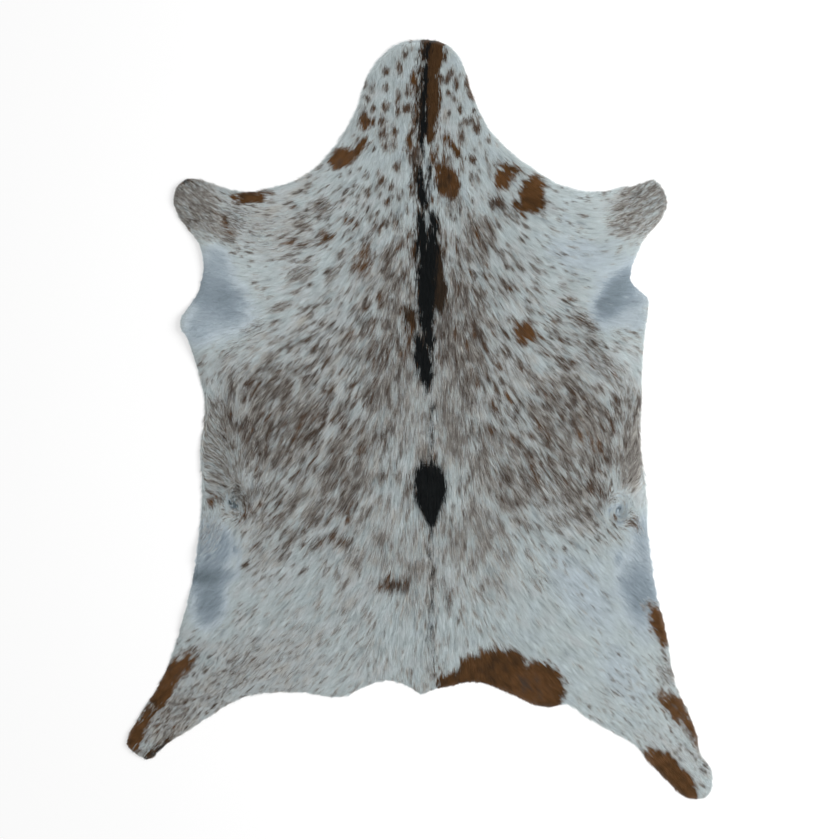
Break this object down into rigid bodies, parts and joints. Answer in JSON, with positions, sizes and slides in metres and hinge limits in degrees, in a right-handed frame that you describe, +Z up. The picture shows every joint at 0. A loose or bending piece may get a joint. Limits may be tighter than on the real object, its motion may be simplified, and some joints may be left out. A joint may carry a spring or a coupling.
{
  "type": "goatskin rug",
  "caption": "Whole goatskin with its hair on, laid flat as a floor rug: neck, foreleg flaps, flanks, hind-leg flaps and tail stub cut from one skin.",
  "frame": {"origin": "middle of the rug's outline, on the floor it lies on", "axes": "+Y towards the neck, +X to the right seen from above, +Z up, out of the coat"},
  "size_m": [0.7332, 0.9512, 0.0126],
  "materials": {
    "coat": "short laid goat hair, cool white with brown-grey speckles, brown patches and a black spine stripe; soft, matt to satin",
    "skin": "tanned flesh side and cut edge, pale suede, matt"
  },
  "bodies": {
    "root": {"hide": "coat"}
  },
  "joints": []
}
